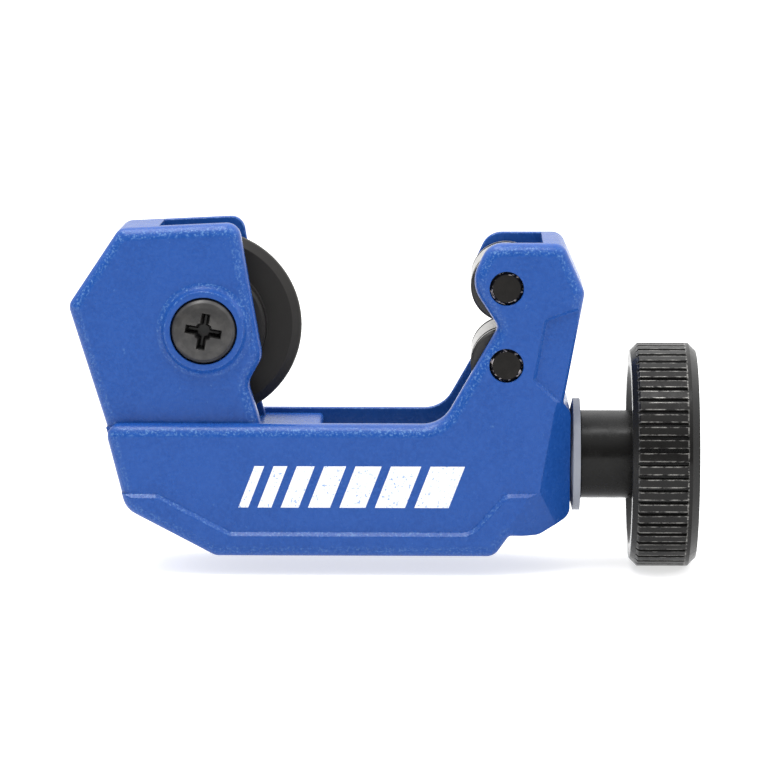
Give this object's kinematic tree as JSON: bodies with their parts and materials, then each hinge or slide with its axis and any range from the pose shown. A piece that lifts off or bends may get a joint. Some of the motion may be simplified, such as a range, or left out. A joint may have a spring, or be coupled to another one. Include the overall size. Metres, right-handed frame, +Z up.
{
  "type": "mini tubing cutter",
  "caption": "Small screw-feed tubing cutter: C-shaped cast frame with twin rollers, a sliding cutting-wheel carriage and a knurled feed knob.",
  "frame": {"origin": "under the middle of the whole tool, level with the lowest point of the knob, with the jaws fully open", "axes": "+X along the feed screw towards the knob, +Z up through the open jaws, front face towards -Y"},
  "size_m": [0.0776, 0.0278, 0.0433],
  "materials": {
    "blue_casting": "blue powder coat over a zinc die casting, satin, with a fine orange peel",
    "wheel_steel": "black oxide on hardened tool steel, satin",
    "plain_steel": "zinc-plated steel, lightly oiled",
    "roller_steel": "ground steel, dark at the end faces",
    "black_oxide": "black oxide steel, satin",
    "black_knob": "gloss black coating over a zinc die casting, bright on the knurl's edges",
    "knob_cap": "black moulded plastic, semi-gloss",
    "grey_nylon": "natural grey nylon, satin"
  },
  "bodies": {
    "frame": {"frame": "blue_casting", "upper_roller_pin": "black_oxide", "lower_roller_pin": "black_oxide"},
    "carriage": {"cutter_carriage": "blue_casting", "wheel_screw": "black_oxide", "wheel_sleeve": "plain_steel"},
    "wheel": {"cutter_wheel": "wheel_steel"},
    "upper_roller": {"upper_roller": "roller_steel"},
    "lower_roller": {"lower_roller": "roller_steel"},
    "knob": {"feed_knob": "black_knob", "feed_screw": "plain_steel", "knob_cap": "knob_cap", "thrust_washer": "grey_nylon", "inner_washer": "plain_steel", "screw_retaining_clip": "plain_steel", "carriage_stop_ring": "plain_steel"}
  },
  "joints": [
    {"name": "knob_turn", "type": "hinge", "parent": "frame", "child": "knob", "pos_m": [0.0305, 0, 0.01395], "axis": [-1, 0, 0], "range_deg": [0, 7632]},
    {"name": "carriage_slide", "type": "slide", "parent": "frame", "child": "carriage", "axis": [1, 0, 0], "range_m": [0, 0.0212]},
    {"name": "cutter_wheel_spin", "type": "hinge", "parent": "carriage", "child": "wheel", "pos_m": [-0.0223, 0, 0.0302], "axis": [0, 1, 0], "continuous": true},
    {"name": "upper_roller_spin", "type": "hinge", "parent": "frame", "child": "upper_roller", "pos_m": [0.01495, 0, 0.0357], "axis": [0, 1, 0], "continuous": true},
    {"name": "lower_roller_spin", "type": "hinge", "parent": "frame", "child": "lower_roller", "pos_m": [0.01495, 0, 0.0262], "axis": [0, 1, 0], "continuous": true}
  ],
  "couplings": [
    {"joint": "carriage_slide", "follows": "knob_turn", "m_per_rad": 0.00015915}
  ]
}
